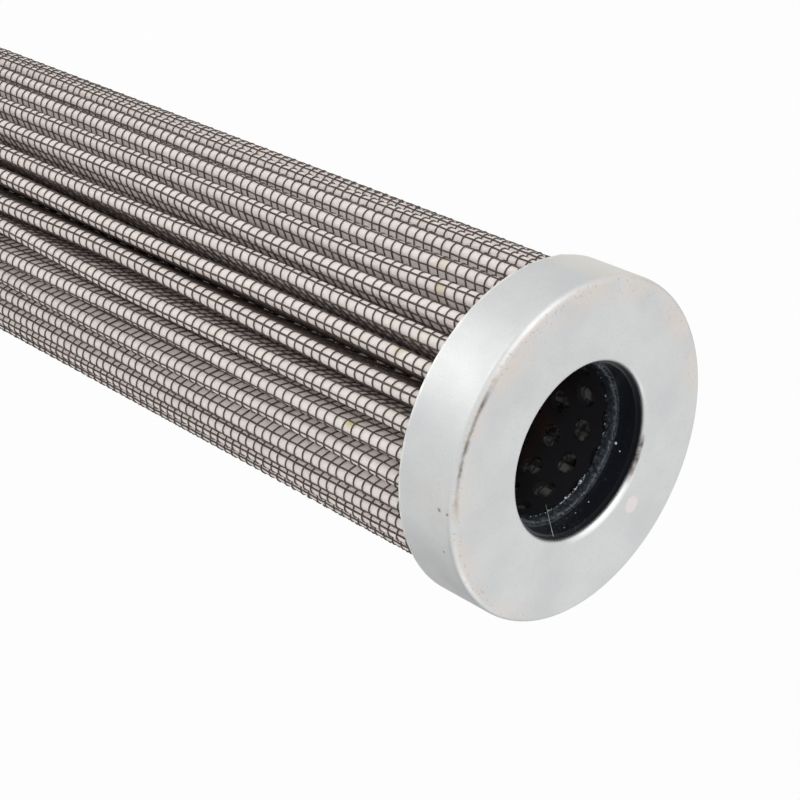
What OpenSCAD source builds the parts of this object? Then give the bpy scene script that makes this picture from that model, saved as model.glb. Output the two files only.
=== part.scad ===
// Hydraulic filter element: a pleated wire-backed glass fibre pack round a
// perforated core, potted into two pressed steel end caps.
// Millimetres. +Z runs along the element to its open end. The origin is the
// centre of the closed end's flat face, on which the element stands.

/* [Overall] */
// Length over both end caps
element_l = 208; // [90:1:420]
// Outer diameter of the end caps
cap_od = 45; // [42:0.5:60]

/* [End caps] */
// Thickness of the pressed steel sheet
cap_t = 0.8; // [0.7:0.1:1.1]
// Height of the skirt, over the face
cap_h = 9; // [7:0.5:14]
// Outer radius of the bend between face and skirt
cap_bend_r = 1.0; // [0.9:0.05:1.6]
// Diameter of the hole in the open end cap
cap_hole_d = 23.3; // [22.8:0.1:25]
// Radius on the edge of that hole
cap_hole_edge_r = 0.35; // [0.1:0.05:0.4]

/* [Seal] */
// Diameter that the seal grips
seal_id = 22.4; // [21.6:0.1:22.6]
// Outer diameter of the seal
seal_od = 29; // [27:0.5:32]
// Height of the seal
seal_h = 3.2; // [2:0.1:5]
// Depth of the counterbore at the seal's mouth
seal_step_h = 0.5; // [0.2:0.1:1]
// Width of that counterbore's ledge
seal_step_w = 0.35; // [0.1:0.05:0.5]

/* [Core] */
// Inner diameter of the perforated core
core_id = 20.9; // [18:0.1:21.2]
// Wall of the core
core_t = 0.75; // [0.5:0.05:1]
// Diameter of the holes in the core
core_hole_d = 3; // [2:0.1:3.6]
// Distance between holes round the core
core_hole_pitch = 4.85; // [4.4:0.05:8]
// Distance between rows of holes along the core
core_row_pitch = 4.2; // [4:0.05:8]
// Depth of the first row's centre below the open end's face
core_first_row = 4.8; // [3:0.1:12]

/* [Pleat pack] */
// Wire cloth on the inside of the folds
inner_mesh_t = 0.22; // [0.15:0.01:0.3]
// Fleece between the inner cloth and the medium
inner_fleece_t = 0.12; // [0.08:0.01:0.2]
// Glass fibre medium
media_t = 0.28; // [0.2:0.01:0.4]
// Fleece between the medium and the outer cloth
outer_fleece_t = 0.12; // [0.08:0.01:0.2]
// Wire cloth on the outside of the folds, without its proud wires
outer_mesh_t = 0.22; // [0.15:0.01:0.3]
// Inner radius of the fold at a crest
crest_fold_r = 0.085; // [0.04:0.005:0.3]
// Free gap in a valley, at its root
root_gap = 0.08; // [0.04:0.01:0.2]
// Free gap between two flanks inside a fold, at the root
flank_gap = 0.05; // [0.04:0.01:0.2]
// Gap between the crests and the skirt of an end cap
crest_gap = 0.9; // [0.5:0.1:3]

/* [Wires and windows of the outer cloth] */
// Width of a wire that runs along the element
wire_w = 0.26; // [0.15:0.01:0.4]
// Height of such a wire over the cloth
wire_h = 0.1; // [0.05:0.01:0.15]
// Distance between such wires down a flank
wire_pitch = 1.7; // [1.2:0.1:3]
// Wires on each flank
flank_wires = 2; // [1:1:3]
// Angle of the two crest wires from the top of the crest
crest_wire_a = 48; // [35:1:60]
// Rows of windows along the element
window_rows = 3; // [1:1:3]
// Width of a window across a crest
window_w = 0.9; // [0.4:0.1:1]
// Length of cloth left between rows of windows
window_land = 2.9; // [1:0.1:10]

/* [Bonding] */
// Compound under the pack at the closed end
base_bond_t = 1.2; // [1:0.1:3]
// Compound between the seal and the pack at the open end
lip_bond_t = 0.6; // [0.4:0.1:1.5]
// Depth of compound round the ends of the folds
pot_depth = 2.4; // [1:0.1:3]
// Height of the seam bead, up the valley that it fills
seam_h = 3; // [1:0.1:4]

/* [Fits] */
// Clearance between layers of the pack
layer_gap = 0.02; // [0.01:0.01:0.05]
// Clearance between the core and the pack
core_gap = 0.05; // [0.02:0.01:0.2]
// Clearance of the compound and the seam bead
bond_gap = 0.02; // [0.01:0.01:0.05]

/* [Hidden] */

// Steps of a fold's arc at a crest and at a root, and facets of a turned piece
crest_steps = 6;
root_steps = 3;
turned_fn = 128;
hole_fn = 24;
// Overshoot of a cutting shape
cut = 1;

// Heights of what is stacked between the two faces
pack_z0 = cap_t + base_bond_t;
pack_z1 = element_l - cap_t - seal_h - lip_bond_t;
pack_l = pack_z1 - pack_z0;

// Radii of the cap, the core and the pack
cap_r = cap_od / 2;
skirt_r = cap_r - cap_t;
core_r = core_id / 2 + core_t;
pack_r0 = core_r + core_gap;
pack_r1 = skirt_r - crest_gap;

// The layers of the pack from the inside of the fold out
LAYER_T = [inner_mesh_t, inner_fleece_t, media_t, outer_fleece_t, outer_mesh_t];
function sum(v, n) = n <= 0 ? 0 : v[n - 1] + sum(v, n - 1);
pack_t = sum(LAYER_T, len(LAYER_T)) + (len(LAYER_T) - 1) * layer_gap;
// Distance of a layer's two faces from the middle of the pack
function inner_face(i) = sum(LAYER_T, i) + i * layer_gap - pack_t / 2;
function outer_face(i) = inner_face(i) + LAYER_T[i];

// The middle of the pack runs on arcs at the crests and roots, joined by lines
// that touch both. A face at distance d from it has the same centres.
crest_r = crest_fold_r + pack_t / 2;
root_r = (root_gap + pack_t) / 2;
crest_c = pack_r1 - crest_r - pack_t / 2;
root_c = pack_r0 + root_r + pack_t / 2;
// As many pleats as stand side by side at the roots
pleat_count = floor(2 * PI * root_c / (2 * pack_t + root_gap + flank_gap));
pitch_a = 360 / pleat_count;
// From a crest's centre to the centre of the next root
span = [root_c * cos(pitch_a / 2) - crest_c, root_c * sin(pitch_a / 2)];
// Direction at right angles to a flank
flank_a = atan2(span[1], span[0]) - acos((crest_r + root_r) / norm(span));

function polar(r, a) = [r * cos(a), r * sin(a)];
function turned(p, a) = [p[0] * cos(a) - p[1] * sin(a), p[0] * sin(a) + p[1] * cos(a)];
function crest_arc(d) = [
  for (i = [0:crest_steps])
    [crest_c, 0] + polar(crest_r + d, flank_a * (2 * i / crest_steps - 1))
];
function root_arc(d) = [
  for (i = [0:root_steps])
    polar(root_c, pitch_a / 2)
      + polar(root_r - d, 180 + flank_a + i / root_steps * (pitch_a - 2 * flank_a))
];
function around(one_pleat) = [
  for (k = [0:pleat_count - 1]) for (p = one_pleat) turned(p, k * pitch_a)
];
function pleats(d) = around(concat(crest_arc(d), root_arc(d)));

// A wire is a low ridge: its foot, two top corners and its other foot
RIDGE = [[-1, 0], [-0.5, 1], [0.5, 1], [1, 0]];
function crest_wire(d, a) = [
  for (q = RIDGE)
    [crest_c, 0]
      + polar(crest_r + d + q[1] * wire_h, a + q[0] * wire_w / 2 / (crest_r + d) * 180 / PI)
];
// Wires down the flank behind a crest; the flank in front of it is its mirror image
function flank_wires_up(d) = [
  for (j = [1:flank_wires]) for (q = RIDGE)
    [crest_c, 0]
      + polar(crest_r + d + q[1] * wire_h, flank_a)
      + polar(j * wire_pitch - wire_pitch / 2 + q[0] * wire_w / 2, flank_a + 90)
];
function mirrored(points) = [for (i = [len(points) - 1:-1:0]) [points[i][0], -points[i][1]]];
function wired_crest(d) = concat(
  mirrored(flank_wires_up(d)),
  [[crest_c, 0] + polar(crest_r + d, -flank_a)],
  crest_wire(d, -crest_wire_a),
  [[crest_c, 0] + polar(crest_r + d, 0)],
  crest_wire(d, crest_wire_a),
  [[crest_c, 0] + polar(crest_r + d, flank_a)],
  flank_wires_up(d)
);
function wired_pleats(d) = around(concat(wired_crest(d), root_arc(d)));

module ring_section(outer, inner) {
  polygon(
    concat(outer, inner),
    [[for (i = [0:len(outer) - 1]) i], [for (i = [0:len(inner) - 1]) len(outer) + i]]
  );
}

module pack_layer(i) {
  translate([0, 0, pack_z0]) linear_extrude(pack_l)
    ring_section(pleats(outer_face(i)), pleats(inner_face(i)));
}

// A square corner at the origin side of x and y, with the far corner rounded
module rounded_corner(w, h, r) {
  square([w - r, h]);
  square([w, h - r]);
  translate([w - r, h - r]) circle(r, $fn = turned_fn);
}

// Half section of a cap as it stands on its skirt, with a hole of radius r in its face
module cap_section(r) {
  difference() {
    rounded_corner(cap_r, cap_h, cap_bend_r);
    translate([0, -cut]) rounded_corner(skirt_r, cap_h - cap_t + cut, cap_bend_r - cap_t);
    if (r > 0) {
      translate([0, cap_h - cap_t - cut]) square([r, cap_t + 2 * cut]);
      translate([r, cap_h - cap_hole_edge_r]) difference() {
        translate([-cut, 0]) square([cap_hole_edge_r + cut, cap_hole_edge_r + cut]);
        translate([cap_hole_edge_r, 0]) circle(cap_hole_edge_r, $fn = turned_fn);
      }
    }
  }
}

// Compound round and between the ends of the folds, from z = 0 up
module pot() {
  linear_extrude(pot_depth) {
    difference() {
      circle(skirt_r - bond_gap, $fn = turned_fn);
      polygon(wired_pleats(outer_face(4) + bond_gap));
    }
  }
}

module bottom_end_cap() {
  color("silver") translate([0, 0, cap_h]) mirror([0, 0, 1])
    rotate_extrude($fn = turned_fn) cap_section(0);
}

module bottom_bond() {
  color("dimgray") {
    translate([0, 0, pack_z0]) mirror([0, 0, 1]) rotate_extrude($fn = turned_fn)
      rounded_corner(skirt_r - bond_gap, base_bond_t, cap_bend_r - cap_t);
    translate([0, 0, pack_z0]) pot();
  }
}

module core_holes() {
  around_n = floor(PI * (core_id + core_t) / core_hole_pitch);
  rows = floor((pack_l - core_first_row) / core_row_pitch) + 1;
  for (row = [0:rows - 1])
    translate([0, 0, element_l - core_first_row - row * core_row_pitch])
      for (i = [0:around_n - 1])
        rotate((i + row % 2 / 2) * 360 / around_n)
          translate([core_id / 2 - cut, 0, 0]) rotate([0, 90, 0])
            cylinder(d = core_hole_d, h = core_t + 2 * cut, $fn = hole_fn);
}

module core_tube() {
  color([0.1, 0.1, 0.11]) difference() {
    translate([0, 0, pack_z0]) cylinder(r = core_r, h = pack_l, $fn = turned_fn);
    translate([0, 0, pack_z0 - cut]) cylinder(d = core_id, h = pack_l + 2 * cut, $fn = turned_fn);
    core_holes();
  }
}

module inner_mesh() {
  color([0.3, 0.27, 0.25]) pack_layer(0);
}

module inner_fleece() {
  color([0.85, 0.83, 0.8]) pack_layer(1);
}

module filter_media() {
  color([0.95, 0.93, 0.88]) pack_layer(2);
}

module outer_fleece() {
  color([0.9, 0.86, 0.84]) pack_layer(3);
}

// Long openings over the crests, between the two crest wires, in rows
module windows() {
  window_l = (pack_l - 2 * pot_depth - (window_rows + 1) * window_land) / window_rows;
  for (row = [0:window_rows - 1])
    translate([0, 0, pack_z0 + pot_depth + window_land + row * (window_l + window_land)])
      for (k = [0:pleat_count - 1])
        rotate(k * pitch_a)
          translate([crest_c, -window_w / 2, 0]) cube([crest_r + pack_t, window_w, window_l]);
}

module outer_mesh() {
  color([0.25, 0.22, 0.2]) difference() {
    translate([0, 0, pack_z0]) linear_extrude(pack_l)
      ring_section(wired_pleats(outer_face(4)), pleats(inner_face(4)));
    windows();
  }
}

// Bead that closes the pack, in the valley between its first and last pleat.
// A valley's half width grows from its root by the slope of its flanks.
module side_seam() {
  slope = pitch_a / 2 + 90 - flank_a;
  function half_w(x) = root_gap / 2 / cos(slope) + x * tan(slope) - wire_h - bond_gap;
  seam_x0 = (crest_c - root_c) / 3.5;
  seam_x1 = seam_x0 + seam_h;
  color([0.45, 0.4, 0.3])
    translate([0, 0, pack_z0 + pot_depth + bond_gap])
      linear_extrude(pack_l - 2 * pot_depth - 2 * bond_gap)
        rotate(-pitch_a / 2) polygon([
          [root_c + seam_x0, -half_w(seam_x0)], [root_c + seam_x1, -half_w(seam_x1)],
          [root_c + seam_x1, half_w(seam_x1)], [root_c + seam_x0, half_w(seam_x0)]
        ]);
}

// Disc of compound above the pack, round the seal and under it, with a round
// lip that stands into the bore over the core's cut end
module top_bond() {
  lip_r = lip_bond_t / 2;
  lip_x = core_id / 2;
  color("dimgray") {
    translate([0, 0, pack_z1]) rotate_extrude($fn = turned_fn) {
      translate([lip_x + lip_r, 0]) square([skirt_r - bond_gap - lip_x - lip_r, lip_bond_t]);
      translate([lip_x + lip_r, lip_r]) circle(lip_r, $fn = turned_fn);
      translate([seal_od / 2 + bond_gap, 0]) rounded_corner(
        skirt_r - seal_od / 2 - 2 * bond_gap, seal_h + lip_bond_t, cap_bend_r - cap_t
      );
    }
    translate([0, 0, pack_z1 - pot_depth]) pot();
  }
}

module seal_ring() {
  color([0.08, 0.08, 0.09])
    translate([0, 0, pack_z1 + lip_bond_t]) rotate_extrude($fn = turned_fn) difference() {
      translate([seal_id / 2, 0]) square([(seal_od - seal_id) / 2, seal_h]);
      translate([seal_id / 2 - cut, seal_h - seal_step_h])
        square([seal_step_w + cut, seal_step_h + cut]);
    }
}

module top_end_cap() {
  color("silver") translate([0, 0, element_l - cap_h])
    rotate_extrude($fn = turned_fn) cap_section(cap_hole_d / 2);
}

bottom_end_cap();
bottom_bond();
core_tube();
inner_mesh();
inner_fleece();
filter_media();
outer_fleece();
outer_mesh();
side_seam();
top_bond();
seal_ring();
top_end_cap();
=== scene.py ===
"""Looks of the hydraulic filter element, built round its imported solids.

The element stands upright on its closed end cap. The camera looks down at the
open end from one side and is rolled, so the element lies across the picture.
Lengths are metres. MM turns a drawing's millimetres into metres.
"""

import math

import bpy
import numpy as np
from mathutils import Matrix, Vector


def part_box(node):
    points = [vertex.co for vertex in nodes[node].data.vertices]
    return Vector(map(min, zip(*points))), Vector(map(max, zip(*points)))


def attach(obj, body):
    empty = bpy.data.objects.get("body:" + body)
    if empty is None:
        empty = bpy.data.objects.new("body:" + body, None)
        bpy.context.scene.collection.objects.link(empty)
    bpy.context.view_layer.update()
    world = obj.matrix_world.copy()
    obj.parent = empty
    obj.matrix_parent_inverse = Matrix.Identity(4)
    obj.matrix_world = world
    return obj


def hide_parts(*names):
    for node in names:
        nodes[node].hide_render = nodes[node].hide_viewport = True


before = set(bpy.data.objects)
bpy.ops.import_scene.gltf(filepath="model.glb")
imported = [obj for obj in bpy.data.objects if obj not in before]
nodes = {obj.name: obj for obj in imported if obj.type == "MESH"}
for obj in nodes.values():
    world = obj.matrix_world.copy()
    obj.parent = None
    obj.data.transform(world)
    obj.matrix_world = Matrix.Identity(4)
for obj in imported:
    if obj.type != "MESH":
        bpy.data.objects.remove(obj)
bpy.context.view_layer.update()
MM = 0.001


# Camera. It stands beside the element, a little above the open end, and is
# rolled so that the open end comes to the lower right of the picture.
camera_turn = math.radians(178.40)
camera_off_axis, camera_height = 195.76 * MM, 344.43 * MM
camera_place = Vector(
    (
        camera_off_axis * math.cos(camera_turn),
        camera_off_axis * math.sin(camera_turn),
        camera_height,
    )
)
camera_aim = Vector((-0.178 * MM, -3.765 * MM, 177.947 * MM))
camera_roll = math.radians(115.494)

camera = bpy.data.objects.new("camera", bpy.data.cameras.new("camera"))
camera.data.sensor_width = 36
camera.data.lens = 87.97
camera.data.clip_start = 0.01
upright = (camera_aim - camera_place).to_track_quat("-Z", "Y").to_matrix()
rolled = upright @ Matrix.Rotation(camera_roll, 3, "Z")
camera.matrix_world = Matrix.Translation(camera_place) @ rolled.to_4x4()
bpy.context.scene.collection.objects.link(camera)
bpy.context.scene.camera = camera
bpy.context.scene.view_settings.view_transform = "Standard"


# Floor and light. The floor is a pale sheet that shows white to the camera and
# keeps a soft shadow. Gloss sees it dim towards one corner, which shades one
# side of the caps. Four soft boxes and a pale room light the element.
def seen_directly(tree):
    """1 for rays from the camera, from gloss and through glass, and 0 for others.

    It is the largest of the three factors that the light path gives.
    """
    path = tree.nodes.new("ShaderNodeLightPath")
    total = path.outputs["Is Camera Ray"]
    for name in ("Is Glossy Ray", "Is Transmission Ray"):
        either = tree.nodes.new("ShaderNodeMath")
        either.operation = "MAXIMUM"
        tree.links.new(total, either.inputs[0])
        tree.links.new(path.outputs[name], either.inputs[1])
        total = either.outputs[0]
    return total


floor_half, floor_gap, floor_shadow_share = 4.0, 0.02 * MM, 0.05
dim_from, dim_to, dimmest = 0.14, 0.32, 0.52
dim_direction = (0.75, -0.66, 0)
floor_mesh = bpy.data.meshes.new("floor")
floor_mesh.from_pydata(
    [
        (x * floor_half, y * floor_half, -floor_gap)
        for x, y in ((-1, -1), (1, -1), (1, 1), (-1, 1))
    ],
    [],
    [(0, 1, 2, 3)],
)
floor = bpy.data.objects.new("floor", floor_mesh)
bpy.context.scene.collection.objects.link(floor)

floor_paper = bpy.data.materials.new("floor_paper")
floor_paper.use_nodes = True
tree = floor_paper.node_tree
paper = tree.nodes["Principled BSDF"]
paper.inputs["Base Color"].default_value = (0.86, 0.86, 0.86, 1)
paper.inputs["Roughness"].default_value = 0.9
paper.inputs["Specular IOR Level"].default_value = 0.1
white = tree.nodes.new("ShaderNodeEmission")
share = tree.nodes.new("ShaderNodeMath")
share.operation = "MULTIPLY"
share.inputs[1].default_value = 1 - floor_shadow_share
mixed = tree.nodes.new("ShaderNodeMixShader")
tree.links.new(seen_directly(tree), share.inputs[0])
tree.links.new(share.outputs[0], mixed.inputs[0])
tree.links.new(paper.outputs[0], mixed.inputs[1])
tree.links.new(white.outputs[0], mixed.inputs[2])

dark_corner = tree.nodes.new("ShaderNodeMapRange")
dark_corner.interpolation_type = "SMOOTHSTEP"
dark_corner.inputs["From Min"].default_value = dim_from
dark_corner.inputs["From Max"].default_value = dim_to
dark_corner.inputs["To Min"].default_value = 1.0
dark_corner.inputs["To Max"].default_value = dimmest
across = tree.nodes.new("ShaderNodeVectorMath")
across.operation = "DOT_PRODUCT"
across.inputs[1].default_value = dim_direction
floor_place = tree.nodes.new("ShaderNodeTexCoord")
tree.links.new(floor_place.outputs["Object"], across.inputs[0])
tree.links.new(across.outputs["Value"], dark_corner.inputs["Value"])
glossy = tree.nodes.new("ShaderNodeMix")
light_path = tree.nodes.new("ShaderNodeLightPath")
tree.links.new(light_path.outputs["Is Glossy Ray"], glossy.inputs[0])
glossy.inputs[2].default_value = 1.0
tree.links.new(dark_corner.outputs[0], glossy.inputs[3])
tree.links.new(glossy.outputs[0], white.inputs["Strength"])
tree.links.new(mixed.outputs[0], tree.nodes["Material Output"].inputs["Surface"])
floor_mesh.materials.append(floor_paper)

room = bpy.data.worlds.new("room")
room.use_nodes = True
tree = room.node_tree
tree.nodes["Background"].inputs["Color"].default_value = (0.57, 0.57, 0.57, 1)
bright = tree.nodes.new("ShaderNodeBackground")
bright.inputs["Color"].default_value = (1, 1, 1, 1)
mixed = tree.nodes.new("ShaderNodeMixShader")
tree.links.new(seen_directly(tree), mixed.inputs[0])
tree.links.new(tree.nodes["Background"].outputs[0], mixed.inputs[1])
tree.links.new(bright.outputs[0], mixed.inputs[2])
tree.links.new(mixed.outputs[0], tree.nodes["World Output"].inputs["Surface"])
bpy.context.scene.world = room


lamp_aim_height = 170 * MM


def soft_box(name, turn, distance, height, size, level, seen_by="both"):
    """A square lamp at a turn round the element's axis, aimed at the open end.

    Its power is level * pi^2 * distance^2, so that a surface that faces it gets
    level times the light that a white room would give. One seen by matt
    surfaces only fills shadows, and one seen by gloss only is a reflector.
    """
    lamp = bpy.data.lights.new(name, "AREA")
    lamp.size = size
    angle = math.radians(turn)
    place = Vector((distance * math.cos(angle), distance * math.sin(angle), height))
    aim = Vector((0, 0, lamp_aim_height))
    lamp.energy = level * math.pi**2 * (aim - place).length_squared
    lamp_object = bpy.data.objects.new(name, lamp)
    lamp_object.visible_glossy = seen_by != "matt"
    lamp_object.visible_diffuse = seen_by != "gloss"
    lamp_object.matrix_world = (
        Matrix.Translation(place)
        @ (aim - place).to_track_quat("-Z", "Y").to_matrix().to_4x4()
    )
    bpy.context.scene.collection.objects.link(lamp_object)


# Each has its turn in degrees, its distance, height and size, and its level.
soft_box("side_light", 122, 0.75, 0.75, 0.83, 0.23)
soft_box("low_light", 161, 0.25, 0.03, 0.26, 0.27, "gloss")
soft_box("front_light", 178, 0.42, 0.5, 0.14, 0.4, "matt")
soft_box("far_light", -70, 1.3, 0.7, 0.6, 0.05)


# Closed end cap. A cup pressed from 0.8 mm steel sheet and zinc plated. The
# pack stands in it, in compound, and the element stands on its flat face.
def surface(name, grid, loop_along, loop_round, texture=None):
    """A mesh from an array of points: tubes x rows along x columns round x 3.

    Neighbouring points make squares, last joins first where a direction loops,
    and open tubes get an end face. The faces are turned so that the sum over
    them of (face centre - row centre) . normal is positive, which is outwards.
    texture is an array of the same shape with two numbers for each point.
    """
    count, along, round_ = grid.shape[:3]
    index = np.arange(count * along * round_).reshape(count, along, round_)
    ahead = np.roll(index, -1, 1) if loop_along else index[:, 1:]
    here = index if loop_along else index[:, :-1]
    if not loop_round:
        here, here_side = here[:, :, :-1], here[:, :, 1:]
        ahead, ahead_side = ahead[:, :, :-1], ahead[:, :, 1:]
    else:
        here_side, ahead_side = np.roll(here, -1, 2), np.roll(ahead, -1, 2)
    squares = np.stack([here, ahead, ahead_side, here_side], -1)
    points = grid.reshape(-1, 3)
    corners = points[squares]
    normal = np.cross(
        corners[..., 2, :] - corners[..., 0, :], corners[..., 3, :] - corners[..., 1, :]
    )
    rows = grid.mean(2)[:, : squares.shape[1], None, :]
    inside_out = loop_round and ((corners.mean(-2) - rows) * normal).sum() < 0
    faces = squares.reshape(-1, 4)
    ends = np.zeros((0, round_), int)
    if loop_round and not loop_along:
        ends = np.concatenate([index[:, 0], index[:, -1, ::-1]])
    if inside_out:
        faces = faces[:, ::-1]
        ends = ends[:, ::-1]
    mesh = bpy.data.meshes.new(name)
    mesh.from_pydata(points.tolist(), [], faces.tolist() + ends.tolist())
    mesh.polygons.foreach_set("use_smooth", np.ones(len(mesh.polygons), bool))
    if texture is not None:
        corner_points = np.zeros(len(mesh.loops), int)
        mesh.loops.foreach_get("vertex_index", corner_points)
        layer = mesh.uv_layers.new(name="cloth")
        layer.data.foreach_set("uv", texture.reshape(-1, 2)[corner_points].ravel())
    piece = bpy.data.objects.new(name, mesh)
    bpy.context.scene.collection.objects.link(piece)
    return piece


def rounded(corners, steps=7, lead=0.05 * MM):
    """A closed outline from corners (radius, height, fillet), each with its arc.

    The arc turns from one side's tangent point to the other's. A point is added
    a short lead before and after it, which keeps the flats' shading flat.
    """
    outline = []
    for i, (r, z, fillet) in enumerate(corners):
        corner = np.array([r, z])
        sides = []
        for other in (corners[i - 1], corners[(i + 1) % len(corners)]):
            side = np.array(other[:2]) - corner
            sides.append(side / np.linalg.norm(side))
        half = math.acos(np.clip(sides[0] @ sides[1], -1, 1)) / 2
        reach = fillet / math.tan(half)
        middle = corner + (sides[0] + sides[1]) * fillet / (
            math.sin(half) * np.linalg.norm(sides[0] + sides[1])
        )
        spokes = [corner + side * reach - middle for side in sides]
        sweep = math.pi - 2 * half
        share = np.linspace(0, 1, steps)[:, None]
        arc = (
            np.sin((1 - share) * sweep) * spokes[0] + np.sin(share * sweep) * spokes[1]
        ) / math.sin(sweep)
        outline += [corner + sides[0] * (reach + lead)]
        outline += list(middle + arc)
        outline += [corner + sides[1] * (reach + lead)]
    return np.array(outline)


def ripple(angle, lowest, highest, seed):
    """A closed wavy line that stays mostly between -1 and 1.

    It is a sum of cosines with whole numbers of waves, each with its own start,
    divided by the root of twice their number, rounded up.
    """
    draw = np.random.default_rng(seed)
    waves = np.arange(lowest, highest)
    starts = draw.uniform(0, 2 * math.pi, len(waves))
    total = np.cos(angle[..., None] * waves + starts).sum(-1)
    return total / math.ceil(math.sqrt(2 * len(waves)))


def turned(name, outline, steps=240, wear=None):
    """A closed outline of (radius, height) carried once round the axis.

    wear is a function that may move the outline's points at each step.
    """
    angle = np.linspace(0, 2 * math.pi, steps, endpoint=False)[:, None]
    radius = np.broadcast_to(outline[:, 0], (steps, len(outline)))
    height = np.broadcast_to(outline[:, 1], (steps, len(outline)))
    if wear is not None:
        radius, height = wear(angle, radius, height)
    grid = np.stack([radius * np.cos(angle), radius * np.sin(angle), height], -1)
    return surface(name, grid[None], True, True)


class Finish:
    """A material in the making: its shader, and calls for the nodes that feed it."""

    def __init__(self, name, colour, roughness, metallic=0.0, **constants):
        self.material = bpy.data.materials.new(name)
        self.material.use_nodes = True
        self.tree = self.material.node_tree
        self.shader = self.tree.nodes["Principled BSDF"]
        self.place = self.tree.nodes.new("ShaderNodeTexCoord").outputs["Object"]
        self.set("Base Color", (*colour, 1))
        self.set("Roughness", roughness)
        self.set("Metallic", metallic)
        for socket, value in constants.items():
            self.set(socket.replace("_", " "), value)

    def put(self, value, socket):
        """Links a node's output to a socket, or sets the socket to a value."""
        if isinstance(value, bpy.types.NodeSocket):
            self.tree.links.new(value, socket)
        else:
            socket.default_value = value

    def set(self, socket, value):
        """Gives one of the shader's own sockets its value."""
        self.put(value, self.shader.inputs[socket])

    def maths(self, operation, a, b=0.0):
        """The result of one operation on two numbers or outputs."""
        node = self.tree.nodes.new("ShaderNodeMath")
        node.operation = operation
        self.put(a, node.inputs[0])
        self.put(b, node.inputs[1])
        return node.outputs[0]

    def noise(self, scale, detail=3.0):
        """Noise with a number of lumps to the metre."""
        node = self.tree.nodes.new("ShaderNodeTexNoise")
        self.put(self.place, node.inputs["Vector"])
        node.inputs["Scale"].default_value = scale
        node.inputs["Detail"].default_value = detail
        return node.outputs["Fac"]

    def band(self, value, start, end):
        """0 below start and 1 above end, smooth between them.

        If end is the lower, it is 1 below end and 0 above start.
        """
        node = self.tree.nodes.new("ShaderNodeMapRange")
        node.interpolation_type = "SMOOTHSTEP"
        self.put(value, node.inputs["Value"])
        low, high = min(start, end), max(start, end)
        node.inputs["From Min"].default_value = low
        node.inputs["From Max"].default_value = high
        node.inputs["To Min"].default_value = 0.0 if start < end else 1.0
        node.inputs["To Max"].default_value = 1.0 if start < end else 0.0
        return node.outputs[0]

    def between(self, value, low, high):
        """A factor from 0 to 1 spread over low to high."""
        node = self.tree.nodes.new("ShaderNodeMapRange")
        self.put(value, node.inputs["Value"])
        node.inputs["To Min"].default_value = low
        node.inputs["To Max"].default_value = high
        return node.outputs[0]

    def blend(self, factor, a, b):
        """A colour that goes from a to b as the factor goes from 0 to 1."""
        node = self.tree.nodes.new("ShaderNodeMix")
        node.data_type = "RGBA"
        self.put(factor, node.inputs["Factor"])
        for socket, colour in (("A", a), ("B", b)):
            fits = [s for s in node.inputs if s.name == socket and s.type == "RGBA"]
            self.put((*colour, 1) if isinstance(colour, tuple) else colour, fits[0])
        return [s for s in node.outputs if s.type == "RGBA"][0]

    def near(self, point, reach, soft=0.5, ragged=0.0):
        """1 within reach of a point in millimetres, and 0 further away.

        It fades over soft times the reach to both sides. Noise moves the edge
        in and out by ragged times the reach.
        """
        node = self.tree.nodes.new("ShaderNodeVectorMath")
        node.operation = "DISTANCE"
        self.put(self.place, node.inputs[0])
        node.inputs[1].default_value = tuple(part * MM for part in point)
        away = node.outputs["Value"]
        if ragged:
            lumps = self.noise(900)
            shift = self.maths("MULTIPLY", lumps, ragged * reach * MM * 2)
            away = self.maths("ADD", away, shift)
            reach = reach * (1 + ragged)
        return self.band(away, reach * (1 + soft) * MM, reach * (1 - soft) * MM)

    def axes(self):
        """The three coordinates of the place on the piece."""
        node = self.tree.nodes.new("ShaderNodeSeparateXYZ")
        self.put(self.place, node.inputs[0])
        return node.outputs

    def relief(self, height, depth):
        """Bump from a height of 0 to 1 that stands for depth metres."""
        node = self.tree.nodes.new("ShaderNodeBump")
        node.inputs["Distance"].default_value = depth
        node.inputs["Strength"].default_value = 1.0
        self.put(height, node.inputs["Height"])
        self.set("Normal", node.outputs[0])

    def give(self, *pieces):
        """Makes this the only material of the pieces."""
        for piece in pieces:
            piece.data.materials.clear()
            piece.data.materials.append(self.material)


cap_low, cap_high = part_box("bottom_end_cap")
cap_r = cap_high.x
sheet, skirt, bend = 0.8 * MM, cap_high.z - cap_low.z, 1.0 * MM
cut_edge = 0.12 * MM
middle_r, middle_edge, axis_gap = 2 * MM, 0.05 * MM, 0.002 * MM
closed_cap_outline = rounded(
    [
        (middle_r, 0, middle_edge),
        (cap_r, 0, bend),
        (cap_r, skirt, cut_edge),
        (cap_r - sheet, skirt, cut_edge),
        (cap_r - sheet, sheet, bend - sheet),
        (middle_r, sheet, middle_edge),
    ]
)


def closed_middle(outline):
    """The outline with its innermost points moved to the axis, which shuts the face."""
    shut = outline.copy()
    shut[shut[:, 0] < middle_r + 2 * middle_edge, 0] = axis_gap
    return shut


chip, chip_reach = 0.035 * MM, 0.5 * MM
burr_turn, burr_width, burr_chips = math.radians(111.5), 0.02, 8


def chipped_rim(rim, away):
    """Wear that roughens the sheet's cut edge at the height rim.

    Two ripples move it up and down by about a chip, and a bell curve pulls out
    one burr. The skirt lies on the side that away points to.
    """

    def wear(angle, radius, height):
        """Moves heights only, less and less up to chip_reach from the rim."""
        at_rim = np.clip(1 - np.abs(height - rim) / chip_reach, 0, 1)
        rough = ripple(angle, 9, 60, 11) + 0.6 * ripple(angle, 60, 119, 12)
        burr = burr_chips * np.exp(-(((angle - burr_turn) / burr_width) ** 2))
        return radius, height + away * at_rim * (rough - burr) * chip

    return wear


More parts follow.
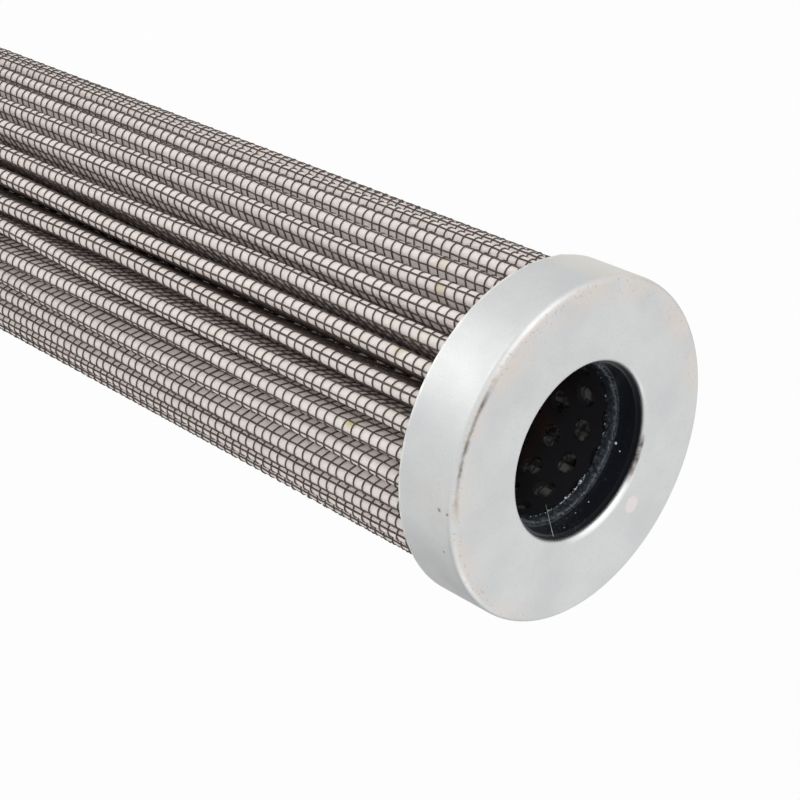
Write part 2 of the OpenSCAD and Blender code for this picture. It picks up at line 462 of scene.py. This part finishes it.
closed_cap = turned(
    "closed_cap", closed_middle(closed_cap_outline), wear=chipped_rim(skirt, -1)
)
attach(closed_cap, "root")
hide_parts("bottom_end_cap")

zinc_colour, zinc_shade = (0.655, 0.66, 0.662), (0.6, 0.608, 0.613)
zinc_warm, zinc_dull = (0.63, 0.61, 0.56), (0.5, 0.5, 0.5)


def zinc(name):
    """Satin zinc plate: soft grey clouds, warm stains and a dulled, fine grain."""
    finish = Finish(name, zinc_colour, 0.5, 1.0)
    clouds = finish.band(finish.noise(120, 4), 0.35, 0.72)
    stains = finish.band(finish.noise(95, 5), 0.56, 0.75)
    colour = finish.blend(clouds, zinc_colour, zinc_shade)
    colour = finish.blend(finish.maths("MULTIPLY", stains, 0.3), colour, zinc_warm)
    grain = finish.noise(4200, 2)
    dull = finish.maths("MULTIPLY", finish.band(grain, 0.52, 0.7), 0.3)
    colour = finish.blend(dull, colour, zinc_dull)
    finish.set("Roughness", finish.between(finish.noise(420, 4), 0.4, 0.54))
    finish.relief(grain, 0.006 * MM)
    return finish, colour


closed_zinc, closed_colour = zinc("closed_cap_zinc")
closed_zinc.set("Base Color", closed_colour)
closed_zinc.give(closed_cap)


# Compound in the closed cap. Grey epoxy that is poured into the cup, then the
# pack is set in it and it hardens round the ends of the folds.
def epoxy(name, colour=(0.052, 0.06, 0.068)):
    """Filled epoxy: slate grey with paler filler, wet in places, with a lumpy skin."""
    finish = Finish(name, colour, 0.45)
    pale = tuple(2.1 * c for c in colour)
    flecks = finish.band(finish.noise(2600, 3), 0.55, 0.78)
    finish.set("Base Color", finish.blend(flecks, colour, pale))
    finish.set("Roughness", finish.between(finish.noise(900), 0.28, 0.62))
    finish.relief(finish.noise(1500, 4), 0.12 * MM)
    return finish


epoxy("base_epoxy").give(nodes["bottom_bond"])


# Core tube. Perforated steel sheet, rolled, welded and painted black. It keeps
# the oil's pressure from crushing the pack, and its holes lie in staggered rows.
core_black, core_rust = (0.013, 0.013, 0.015), (0.05, 0.019, 0.012)
rust_from, rust_full = 199 * MM, 186 * MM
core_paint = Finish("core_paint", core_black, 0.34)
deep = core_paint.band(core_paint.axes()["Z"], rust_from, rust_full)
rusty = core_paint.band(core_paint.noise(260), 0.38, 0.62)
rusty = core_paint.maths("MULTIPLY", core_paint.maths("MULTIPLY", deep, rusty), 0.8)
core_paint.set("Base Color", core_paint.blend(rusty, core_black, core_rust))
core_paint.set("Roughness", core_paint.between(core_paint.noise(700), 0.24, 0.46))
core_paint.relief(core_paint.noise(1800, 2), 0.02 * MM)
core_paint.give(nodes["core_tube"])


# Inner wire cloth. It lies against the core and lets the oil spread behind the
# core's wall. Through the core's holes it shows as pale cells between wires.
wire_pitch = 1.59 * MM
inner_wire, inner_cell = (0.04, 0.034, 0.03), (0.085, 0.085, 0.083)
inner_shade = (0.008, 0.007, 0.006)

inner_cloth = Finish("inner_cloth", inner_cell, 0.6)
row = inner_cloth.maths("DIVIDE", inner_cloth.axes()["Z"], wire_pitch)
off_row = inner_cloth.maths("SUBTRACT", inner_cloth.maths("FRACT", row), 0.5)
wire_row = inner_cloth.band(inner_cloth.maths("ABSOLUTE", off_row), 0.13, 0.06)
shaded = inner_cloth.band(inner_cloth.noise(700), 0.4, 0.62)
cells = inner_cloth.blend(shaded, inner_cell, inner_shade)
inner_cloth.set("Base Color", inner_cloth.blend(wire_row, cells, inner_wire))
inner_cloth.relief(wire_row, 0.12 * MM)
inner_cloth.give(nodes["inner_mesh"])


# Pleated sheet. Glass fibre between two fleeces, folded with the wire cloths
# on both sides. Its outer fleece bulges a little into each cell of the cloth.
core_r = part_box("core_tube")[1].x
pack_low, pack_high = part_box("outer_fleece")[0].z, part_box("outer_fleece")[1].z

# The five layers from the core outwards, with the gaps between them, the free
# radii in the folds, and the room at the core and in each valley.
layers = np.array([0.22, 0.12, 0.28, 0.12, 0.22]) * MM
layer_gap, core_gap, valley_gap = 0.02 * MM, 0.05 * MM, 0.13 * MM
crest_fold_r, root_fold_r = 0.085 * MM, 0.04 * MM

half_pack = (layers.sum() + 4 * layer_gap) / 2
fleece_face = half_pack - layers[4] - layer_gap
crest_r = crest_fold_r + half_pack
root_r = root_fold_r + half_pack
crest_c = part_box("outer_fleece")[1].x - fleece_face - crest_r
root_c = core_r + core_gap + root_r + half_pack
pleats = int(2 * math.pi * root_c // (4 * half_pack + valley_gap))
pitch = 2 * math.pi / pleats
span_x = root_c * math.cos(pitch / 2) - crest_c
span_y = root_c * math.sin(pitch / 2)
span = math.hypot(span_x, span_y)
flank_turn = math.atan2(span_y, span_x) - math.acos((crest_r + root_r) / span)
flank_length = math.sqrt(span**2 - (crest_r + root_r) ** 2)


def fold_line(s, face):
    """One fold's outline at a distance face from the middle of the sheet.

    s is the way along the outline from the crest's top, to both sides. The
    outline is an arc round the crest's centre, a straight flank that touches
    it, and an arc the other way round the root's centre. Returns the points
    and the directions that point out of the sheet, for the fold on the x axis.
    """
    way, side = np.abs(s), np.where(s < 0, -1.0, 1.0)
    crest_way = (crest_r + face) * flank_turn
    on_crest = way / (crest_r + face)
    down = way - crest_way
    on_root = flank_turn - (down - flank_length) / (root_r - face)
    turn = np.where(down < flank_length, flank_turn, on_root)
    turn = np.where(down < 0, on_crest, turn)
    facing = np.stack([np.cos(turn), np.sin(turn)], -1)
    flank = np.array([-math.sin(flank_turn), math.cos(flank_turn)])
    crest_point = (crest_r + face) * facing + [crest_c, 0]
    flank_point = crest_point + np.clip(down, 0, flank_length)[..., None] * flank
    root_middle = root_c * np.array([math.cos(pitch / 2), math.sin(pitch / 2)])
    root_point = root_middle - (root_r - face) * facing
    point = np.where((down > flank_length)[..., None], root_point, flank_point)
    mirror = np.stack([np.ones_like(side), side], -1)
    return point * mirror, facing * mirror


pleat_draw = np.random.default_rng(5)
sway_starts = pleat_draw.uniform(0, 2 * math.pi, (3, pleats))
sway_waves = np.array([1.5, 2.6, 4.3])
sway_sizes = np.radians([0.54, 0.34, 0.17])
fade_share = 0.12


def sway(pleat, height):
    """How far a pleat leans to its side at a height, in radians.

    It is a sum of three sine waves along the pack, which die out smoothly over
    fade_share of its length towards each bonded end.
    """
    share = (height - pack_low) / (pack_high - pack_low)
    free = np.clip(np.minimum(share, 1 - share) / fade_share, 0, 1)
    free = free * free * (3 - 2 * free)
    lean = 0.0
    for i in range(3):
        lean = lean + sway_sizes[i] * np.sin(
            2 * math.pi * sway_waves[i] * share + sway_starts[i][pleat]
        )
    return lean * free


def place_fold(point, pleat, height):
    """Turns points of the fold on the x axis to their pleat and lets it lean.

    The lean grows from 0 at the root's centre with the power 1.5 of the way to
    the crest's centre, and no further than 1.2 times that way.
    """
    radius = np.hypot(point[..., 0], point[..., 1])
    lever = np.clip((radius - root_c) / (crest_c - root_c), 0, 1.2) ** 1.5
    angle = (
        np.arctan2(point[..., 1], point[..., 0])
        + pleat * pitch
        + lever * sway(pleat, height)
    )
    return np.stack(
        np.broadcast_arrays(radius * np.cos(angle), radius * np.sin(angle), height), -1
    )


strand_pitch = 1.72 * MM
strand_start = pleat_draw.uniform(-0.5, 0.5, pleats)


def fold_steps(face, crest_steps, flank_steps):
    """Ways along one fold from root to root.

    They are even on the crest's arc and on each flank, and one more lies 0.6 of
    the way into each root's arc.
    """
    crest_way = (crest_r + face) * flank_turn
    root_way = (root_r - face) * (flank_turn - pitch / 2)
    side = np.concatenate(
        [
            crest_way + flank_length * np.arange(1, flank_steps + 1) / flank_steps,
            [crest_way + flank_length + root_way * 0.6],
        ]
    )
    crest = np.linspace(-crest_way, crest_way, crest_steps + 1)
    return np.concatenate([-side[::-1], crest, side])


def folded_wall(name, inner, outer, rows, crest_steps, flank_steps):
    """The wall between two distances from the sheet's middle, over all folds.

    The outer line and the inner one, taken backwards, make the outline of one
    closed surface. Its UV map counts cells of the cloth across and up.
    """
    heights = np.linspace(pack_low, pack_high, rows)
    walls, marks = [], []
    for face in (outer, inner):
        ways = fold_steps(face, crest_steps, flank_steps)
        pleat = np.repeat(np.arange(pleats), len(ways))
        s = np.tile(ways, pleats)
        point, _ = fold_line(s, face)
        walls.append(place_fold(point[:, None], pleat[:, None], heights[None]))
        across = (s / strand_pitch - strand_start[pleat])[:, None]
        up = (heights[None] - pack_low) / wire_pitch
        marks.append(np.stack(np.broadcast_arrays(across, up), -1))
    grid = np.concatenate([walls[0], walls[1][:, ::-1]], 1)
    texture = np.concatenate([marks[0], marks[1][:, ::-1]], 1)
    return surface(name, grid[None], True, True, texture)


bulge = 0.12 * MM
pleated_sheet = folded_wall(
    "pleated_sheet",
    -fleece_face,
    fleece_face + bulge,
    rows=56,
    crest_steps=14,
    flank_steps=3,
)
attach(pleated_sheet, "root")
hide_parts("outer_fleece", "filter_media", "inner_fleece")

fleece_light, fleece_dull = (0.85, 0.758, 0.712), (0.79, 0.705, 0.663)
fleece_fibre, fleece_shade_and_dirt = (0.7, 0.62, 0.585), (0.52, 0.44, 0.4)
resin_yellow, fleece_reach = (0.56, 0.49, 0.22), 20.4
fleece = Finish(
    "fleece",
    fleece_light,
    0.85,
    Subsurface_Weight=0.6,
    Subsurface_Radius=(1.0, 0.92, 0.85),
    Subsurface_Scale=1.5 * MM,
)
marks = fleece.tree.nodes.new("ShaderNodeUVMap")
marks.uv_map = "cloth"
parts = fleece.tree.nodes.new("ShaderNodeSeparateXYZ")
fleece.put(marks.outputs[0], parts.inputs[0])
pillow = 1.0
for part in ("X", "Y"):
    wave = fleece.maths("SINE", fleece.maths("MULTIPLY", parts.outputs[part], math.pi))
    pillow = fleece.maths("MULTIPLY", fleece.maths("ABSOLUTE", wave), pillow)
pillow = fleece.maths("POWER", pillow, 0.4)
fibre = fleece.noise(5200, 3)
tone = fleece.noise(170, 3)
clean = fleece.blend(fleece.band(tone, 0.35, 0.7), fleece_light, fleece_dull)
fibres = fleece.maths("MULTIPLY", fleece.band(fibre, 0.5, 0.72), 0.3)
clean = fleece.blend(fibres, clean, fleece_fibre)
# Painted shade with some dirt: the fleece darkens towards the wires round each cell.
wire_shade_and_dirt = fleece.band(pillow, 0.55, 0.1)
shaded_dirty_fleece = fleece.blend(fleece.maths("MULTIPLY", wire_shade_and_dirt, 0.15), clean, fleece_shade_and_dirt)


def round_axis(turn, radius, height):
    """The point in millimetres at a turn in degrees, a radius and a height."""
    angle = math.radians(turn)
    return radius * math.cos(angle), radius * math.sin(angle), height


# Cells that resin has run into, each with its turn, height and strength.
resin = 0.0
for turn, height, strength in (
    (202.4, 188.0, 0.75),
    (146.6, 191.0, 0.4),
    (134.9, 187.5, 0.3),
    (241.1, 187.4, 0.3),
    (170.8, 133.0, 0.45),
    (172.8, 191.9, 0.4),
):
    spot = fleece.near(round_axis(turn, fleece_reach, height), 0.9, 0.35, 0.3)
    resin = fleece.maths("MAXIMUM", fleece.maths("MULTIPLY", spot, strength), resin)
fleece.set("Base Color", fleece.blend(resin, shaded_dirty_fleece, resin_yellow))
fleece.relief(fleece.maths("ADD", pillow, fibre), 0.013 * MM)
fleece.give(pleated_sheet)


# Outer wire cloth. Coated steel wires woven into square cells. The cross wires
# run up and down over all folds, and the long wires run from cap to cap.
wire_r, strand_r, weave = 0.14 * MM, 0.13 * MM, 0.05 * MM
wire_sink, wire_end_gap = 0.07 * MM, 0.6 * MM
wire_jitter, wire_tilt = 0.035 * MM, 0.02
wire_face = half_pack - wire_sink
cloth_low, cloth_high = pack_low + wire_end_gap, pack_high - wire_end_gap
ring_count = int((cloth_high - cloth_low) / wire_pitch) + 1


def tubes(name, paths, outward, thickness, closed, sides=4):
    """Round wires along paths, with a ring of points at each point of a path.

    The ring lies in the plane of outward and of outward x the path's direction.
    """
    if closed:
        ahead = np.roll(paths, -1, 1) - np.roll(paths, 1, 1)
    else:
        ahead = np.gradient(paths, axis=1)
    ahead /= np.linalg.norm(ahead, axis=-1, keepdims=True)
    beside = np.cross(ahead, outward)
    beside /= np.linalg.norm(beside, axis=-1, keepdims=True)
    turn = np.arange(sides) * 2 * math.pi / sides
    spokes = np.cos(turn)[:, None] * outward[:, :, None]
    spokes = spokes + np.sin(turn)[:, None] * beside[:, :, None]
    return surface(name, paths[:, :, None] + thickness * spokes, closed, True)


def wire_paths(s, pleat, height, lift):
    """Places of points on the cloth, lifted off its middle, and which way is out.

    Both are those of the fold on the x axis, turned to the pleat.
    """
    point, facing = fold_line(s, wire_face)
    path = place_fold(point + facing * lift[..., None], pleat, height)
    turn = pleat * pitch
    outward = np.stack(
        [
            facing[..., 0] * np.cos(turn) - facing[..., 1] * np.sin(turn),
            facing[..., 0] * np.sin(turn) + facing[..., 1] * np.cos(turn),
            np.zeros(height.shape),
        ],
        -1,
    )
    return path, outward


def cross_wires(name, first, last):
    """Cross wires number first to last: closed lines round all folds.

    A cosine wave takes each over and under the long wires. Its height on each
    pleat has a small random shift and tilt.
    """
    number = np.arange(first, last)[:, None]
    crest_way = (crest_r + wire_face) * flank_turn
    ways = np.concatenate(
        [
            -crest_way - flank_length * np.array([1, 0.5]),
            np.linspace(-crest_way, crest_way, 9),
            crest_way + flank_length * np.array([0.5, 1]),
        ]
    )
    pleat = np.repeat(np.arange(pleats), len(ways))[None]
    s = np.tile(ways, pleats)[None]
    draw = np.random.default_rng(100 + first)
    jitter = draw.normal(0, wire_jitter, (last - first, pleats))[:, pleat[0]]
    tilt = draw.normal(0, wire_tilt, (last - first, pleats))[:, pleat[0]]
    height = cloth_low + number * wire_pitch + jitter + tilt * s
    over = np.cos(math.pi * (s / strand_pitch - strand_start[pleat] + number))
    s, pleat = np.broadcast_to(s, height.shape), np.broadcast_to(pleat, height.shape)
    path, outward = wire_paths(s, pleat, height, over * weave)
    return tubes(name, path, outward, wire_r, True)


def long_wires(name, numbers, waved):
    """Long wires: on every pleat those with the given numbers from its crest.

    A cosine wave takes the waved ones under and over the cross wires. The
    others are straight but for the lean of their pleat.
    """
    number = np.tile(np.array(numbers), pleats)[:, None]
    pleat = np.repeat(np.arange(pleats), len(numbers))[:, None]
    s = (number + strand_start[pleat]) * strand_pitch
    if waved:
        step = np.arange(ring_count)[None]
        height = cloth_low + step * wire_pitch
        under = -np.cos(math.pi * (number + step))
    else:
        height = np.linspace(cloth_low, cloth_high, 26)[None]
        under = np.zeros((1, 1))
    s, height, under, pleat = np.broadcast_arrays(s, height, under, pleat)
    path, outward = wire_paths(s, pleat, height, under * weave)
    return tubes(name, path, outward, strand_r, False)


third = ring_count // 3
cloth_pieces = [
    cross_wires("cross_wires_low", 0, third),
    cross_wires("cross_wires_middle", third, 2 * third),
    cross_wires("cross_wires_high", 2 * third, ring_count),
    long_wires("long_wires_crest", (-1, 0, 1), True),
    long_wires("long_wires_flank", (-4, -3, -2, 2, 3, 4), False),
]

wire_brown, wire_rubbed = (0.08, 0.062, 0.055), (0.13, 0.105, 0.093)
coated_wire = Finish("coated_wire", wire_brown, 0.62, Specular_IOR_Level=0.3)
rubbed = coated_wire.band(coated_wire.noise(650, 3), 0.5, 0.75)
coated_wire.set("Base Color", coated_wire.blend(rubbed, wire_brown, wire_rubbed))
coated_wire.relief(coated_wire.noise(6000, 2), 0.01 * MM)
for piece in cloth_pieces:
    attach(piece, "root")
    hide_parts("outer_mesh")
coated_wire.give(*cloth_pieces)


# Seam. The pack's first and last pleat are joined by a bead of epoxy in the
# valley between them, on the side that faces away from the camera.
epoxy("seam_epoxy", (0.19, 0.16, 0.105)).give(nodes["side_seam"])


# Compound in the open cap. It bonds seal, core and pack, and some of it has
# crept into the bore, where it has set as a rough lip over the core's cut end.
epoxy("top_epoxy").give(nodes["top_bond"])

bore_r = 20.9 / 2 * MM
lip_long, lip_thick, lip_wander = 0.8 * MM, 0.31 * MM, 0.1 * MM
lip_middle, lip_height = bore_r + 0.2 * MM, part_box("core_tube")[1].z - 0.1 * MM
lip_slope = np.array([-0.08, -0.997])


def lumpy_lip(name, steps=420, sides=14):
    """A flat ring that hangs from the seal's foot into the core's bore.

    Its section is a rounded oblong along lip_slope, with cosine and sine raised
    to the power 0.6. It wanders, and its lumps are a sum of waves.
    """
    along = np.linspace(0, 2 * math.pi, steps, endpoint=False)[:, None]
    across = np.linspace(0, 2 * math.pi, sides, endpoint=False)[None]
    draw = np.random.default_rng(21)
    lumps = 0.0
    for waves in draw.integers(14, 150, 46):
        lumps = lumps + np.cos(
            waves * along + draw.integers(0, 4) * across + draw.uniform(0, 2 * math.pi)
        )
    size = 1 + 0.02 * lumps
    oblong = np.stack([np.cos(across), np.sin(across)])
    oblong = np.sign(oblong) * np.abs(oblong) ** 0.6
    length = lip_long * size * (1 + 0.12 * ripple(along, 3, 24, 24)) * oblong[0]
    thickness = lip_thick * (size + 0.02 * lumps) * oblong[1]
    radius = lip_middle + length * lip_slope[0] + thickness * lip_slope[1]
    height = lip_height + lip_wander * ripple(along, 4, 30, 23)
    height = height + length * lip_slope[1] - thickness * lip_slope[0]
    grid = np.stack([radius * np.cos(along), radius * np.sin(along), height], -1)
    return surface(name, grid[None], True, True)


rough_lip = lumpy_lip("rough_lip")
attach(rough_lip, "root")
lip_dark, lip_pale = (0.018, 0.022, 0.028), (0.06, 0.068, 0.078)
lip_crumb_and_glint, lip_wet = (0.68, 0.73, 0.78), (0.012, 0.015, 0.02)
lip_epoxy = Finish("lip_epoxy", lip_dark, 0.34)
height = lip_epoxy.axes()["Z"]
pale = lip_epoxy.band(lip_epoxy.noise(2300, 4), 0.45, 0.68)
skin = lip_epoxy.blend(pale, lip_dark, lip_pale)
crumbs = lip_epoxy.noise(3400, 3)
# Pale crumbs and painted glints along the lip's lower edge, in a wider band and more of
# them on the side that catches the light.
glint_side = lip_epoxy.near((6.6, -8.0, 202.7), 6.4, 0.15)
low_edge = lip_epoxy.band(height, lip_height - 0.5 * MM, lip_height - 0.66 * MM)
wide_edge = lip_epoxy.band(height, lip_height - 0.35 * MM, lip_height - 0.55 * MM)
wide_edge = lip_epoxy.maths("MULTIPLY", wide_edge, glint_side)
at_edge = lip_epoxy.maths("MAXIMUM", low_edge, wide_edge)
crumbs = lip_epoxy.maths("ADD", crumbs, lip_epoxy.maths("MULTIPLY", glint_side, 0.09))
crumbs_and_glints = lip_epoxy.maths("MULTIPLY", at_edge, lip_epoxy.band(crumbs, 0.56, 0.64))
wet = lip_epoxy.near((0, 11, 203.5), 9, 0.35)
skin = lip_epoxy.blend(lip_epoxy.maths("MULTIPLY", wet, 0.8), skin, lip_wet)
lip_epoxy.set("Base Color", lip_epoxy.blend(crumbs_and_glints, skin, lip_crumb_and_glint))
lip_epoxy.relief(lip_epoxy.noise(2600, 4), 0.1 * MM)
lip_epoxy.give(rough_lip)


# Stray fibre. A pale glass fibre, torn from the medium, that sticks to the lip.
fibre_turn = np.radians([308.2, 302.4, 296.2, 291.1, 280.8])
fibre_r = np.array([10.25, 10.2, 10.3, 10.8, 11.1]) * MM
fibre_z = np.array([201.5, 202.7, 204.0, 205.3, 207.5]) * MM
fibre_thick = 0.03 * MM
fibre_x, fibre_y = fibre_r * np.cos(fibre_turn), fibre_r * np.sin(fibre_turn)
fibre_line = np.stack([fibre_x, fibre_y, fibre_z], -1)
towards_axis = -fibre_line / np.linalg.norm(fibre_line, axis=-1, keepdims=True)
towards_axis = towards_axis * [1, 1, 0]
stray_fibre = tubes(
    "stray_fibre", fibre_line[None], towards_axis[None], fibre_thick, False, 6
)
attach(stray_fibre, "root")
Finish("pale_fibre", (0.6, 0.6, 0.58), 0.4).give(stray_fibre)


# Seal. A moulded ring of black nitrile rubber that grips the filter head's
# spigot. A small step at its mouth leads the spigot in.
seal_black, seal_dust = (0.0075, 0.0085, 0.012), (0.06, 0.066, 0.074)
crumb_white, crumb_grey = (0.75, 0.78, 0.8), (0.2, 0.22, 0.24)
seal_bore = 11.2
seal_rubber = Finish("seal_rubber", seal_black, 0.3)
dust = seal_rubber.band(seal_rubber.noise(2100, 4), 0.66, 0.8)
seal_colour = seal_rubber.blend(dust, seal_black, seal_dust)

# Single white crumbs, each with its turn, height and size.
for turn, height, reach in (
    (13.2, 204.35, 0.17),
    (9.4, 205.29, 0.09),
    (330, 205.0, 0.08),
    (318, 204.8, 0.07),
    (301, 205.9, 0.08),
):
    crumb = seal_rubber.near(round_axis(turn, seal_bore, height), reach, 0.4)
    seal_colour = seal_rubber.blend(crumb, seal_colour, crumb_white)
dusty = seal_rubber.near((5.2, -9.9, 204.6), 4.2, 0.5)
grains = seal_rubber.band(seal_rubber.noise(4300, 2), 0.6, 0.7)
dusty = seal_rubber.maths("MULTIPLY", dusty, grains)
dusty = seal_rubber.maths("MULTIPLY", dusty, 0.55)
seal_rubber.set("Base Color", seal_rubber.blend(dusty, seal_colour, crumb_grey))
seal_rubber.set("Roughness", seal_rubber.between(seal_rubber.noise(800), 0.24, 0.42))
seal_rubber.relief(seal_rubber.noise(3000, 3), 0.01 * MM)
seal_rubber.give(nodes["seal_ring"])


# Open end cap. Pressed like the closed one, with a hole for the spigot whose
# edge is rounded. The face is bare plate with the scuffs of handling.
hole_r, hole_edge, hole_back_edge = 23.3 / 2 * MM, 0.7 * MM, 0.06 * MM
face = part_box("top_end_cap")[1].z
open_cap = turned(
    "open_cap",
    rounded(
        [
            (hole_r, face, hole_edge),
            (hole_r, face - sheet, hole_back_edge),
            (cap_r - sheet, face - sheet, bend - sheet),
            (cap_r - sheet, face - skirt, cut_edge),
            (cap_r, face - skirt, cut_edge),
            (cap_r, face, bend),
        ],
        steps=10,
    ),
    wear=chipped_rim(face - skirt, 1),
)
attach(open_cap, "root")
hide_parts("top_end_cap")

open_zinc, open_colour = zinc("open_cap_zinc")
flat_place = open_zinc.tree.nodes.new("ShaderNodeVectorMath")
flat_place.operation = "MULTIPLY"
open_zinc.put(open_zinc.place, flat_place.inputs[0])
flat_place.inputs[1].default_value = (1, 1, 0)
off_axis = open_zinc.tree.nodes.new("ShaderNodeVectorMath")
off_axis.operation = "LENGTH"
open_zinc.put(flat_place.outputs[0], off_axis.inputs[0])
radius = off_axis.outputs["Value"]
x, y, z = open_zinc.axes()


def on_ring(low, high, soft, middle, half):
    """1 on the cap between two radii in millimetres, within half degrees of a turn.

    It fades over soft millimetres at the radii, and over 8 degrees at the ends,
    by the cosine of the angle to the middle's turn.
    """
    factor = open_zinc.maths(
        "MULTIPLY",
        open_zinc.band(radius, (low - soft) * MM, low * MM),
        open_zinc.band(radius, (high + soft) * MM, high * MM),
    )
    across = open_zinc.maths("MULTIPLY", x, math.cos(math.radians(middle)))
    along = open_zinc.maths("MULTIPLY", y, math.sin(math.radians(middle)))
    cosine = open_zinc.maths("DIVIDE", open_zinc.maths("ADD", across, along), radius)
    wide, narrow = math.radians(min(half + 8, 179)), math.radians(half)
    in_turn = open_zinc.band(cosine, math.cos(wide), math.cos(narrow))
    return open_zinc.maths("MULTIPLY", factor, in_turn)


beige, brown, smear_brown = (0.7, 0.64, 0.585), (0.3, 0.25, 0.19), (0.3, 0.25, 0.2)
smear_black, hole_edge_streak = (0.1, 0.08, 0.06), (0.09, 0.065, 0.05)
hole_edge_highlight, rim_bright = (0.96, 0.96, 0.96), (0.84, 0.82, 0.76)
bend_dull, pit_brown, dab_pale = (0.68, 0.65, 0.58), (0.16, 0.13, 0.1), (0.8, 0.73, 0.73)
skirt_reach = 22.5
stains = []


def add_stain_or_highlight(colour, strength, *factors):
    """Adds a stain, or a painted highlight: its colour, its strength, and factors that
    are multiplied.
    """
    total = factors[0]
    for factor in factors[1:]:
        total = open_zinc.maths("MULTIPLY", total, factor)
    stains.append((open_zinc.maths("MULTIPLY", total, strength), colour))


rubbed = open_zinc.band(open_zinc.noise(700, 4), 0.3, 0.7)
well_rubbed = open_zinc.between(rubbed, 0.35, 1.0)
fine = open_zinc.between(open_zinc.band(open_zinc.noise(3200, 3), 0.4, 0.65), 0.4, 1.0)
specks = open_zinc.band(open_zinc.noise(2400, 3), 0.58, 0.7)
patches = open_zinc.band(open_zinc.noise(230, 4), 0.36, 0.6)
off_bend = open_zinc.band(radius, 22.35 * MM, 21.9 * MM)
off_skirt = open_zinc.band(radius, 22.4 * MM, 22.1 * MM)
rim_line = open_zinc.band(z, face - skirt + 0.5 * MM, face - skirt + 0.25 * MM)

# Beige and brown wear along the face's rim, with two radii, a softness, a turn,
# half an angle and a strength each.
for *ring, strength in (
    (21.0, 21.9, 3.2, 105, 66, 0.95),
    (21.2, 21.9, 2.2, 222, 50, 0.7),
    (21.4, 22.3, 0.3, 150, 100, 0.5),
):
    add_stain_or_highlight(beige, strength, on_ring(*ring), patches, fine, off_bend)
for *ring, strength in (
    (20.4, 21.8, 1.2, 105, 60, 0.22),
    (21.2, 22.3, 0.3, 240, 34, 0.4),
    (21.3, 22.4, 0.2, 150, 40, 0.25),
):
    add_stain_or_highlight(brown, strength, on_ring(*ring), specks, off_skirt)

# A dark smear at the rim, a dark streak and a painted highlight crescent at the
# hole's edge, the bright line of the skirt's rim, a dull place on the bend and
# three pits.
add_stain_or_highlight(smear_brown, 0.55, on_ring(21.65, 22.0, 0.35, 192, 19), rubbed)
add_stain_or_highlight(smear_black, 0.72, on_ring(21.8, 21.97, 0.16, 192, 12), well_rubbed)
add_stain_or_highlight(hole_edge_streak, 0.9, on_ring(11.5, 11.85, 0.25, 9, 10), rubbed)
# Painted highlight: a brighter crescent of plate at the hole's edge, strongest in its
# middle.
for half in (10, 19, 28):
    add_stain_or_highlight(hole_edge_highlight, 0.3, on_ring(11.5, 12.0, 0.5, 328, half))
add_stain_or_highlight(rim_bright, 0.9, rim_line, rubbed)
add_stain_or_highlight(bend_dull, 0.6, on_ring(22.35, 23, 0.2, 84, 30))
for turn, height, reach in (
    (213.4, 205.9, 0.22),
    (213.7, 207.2, 0.16),
    (228.6, 206.0, 0.14),
):
    pit = open_zinc.near(round_axis(turn, skirt_reach, height), reach, 0.6, 0.4)
    add_stain_or_highlight(pit_brown, 0.75, pit)

# A dab of pale paint, which is no metal.
paint_dot = open_zinc.near((14.32, -3.76, 208), 1.15, 0.1, 0.06)
add_stain_or_highlight(dab_pale, 0.92, paint_dot)
open_zinc.set("Metallic", open_zinc.maths("SUBTRACT", 1.0, paint_dot))

for factor, colour in stains:
    open_colour = open_zinc.blend(factor, open_colour, colour)
open_zinc.set("Base Color", open_colour)
open_zinc.give(open_cap)
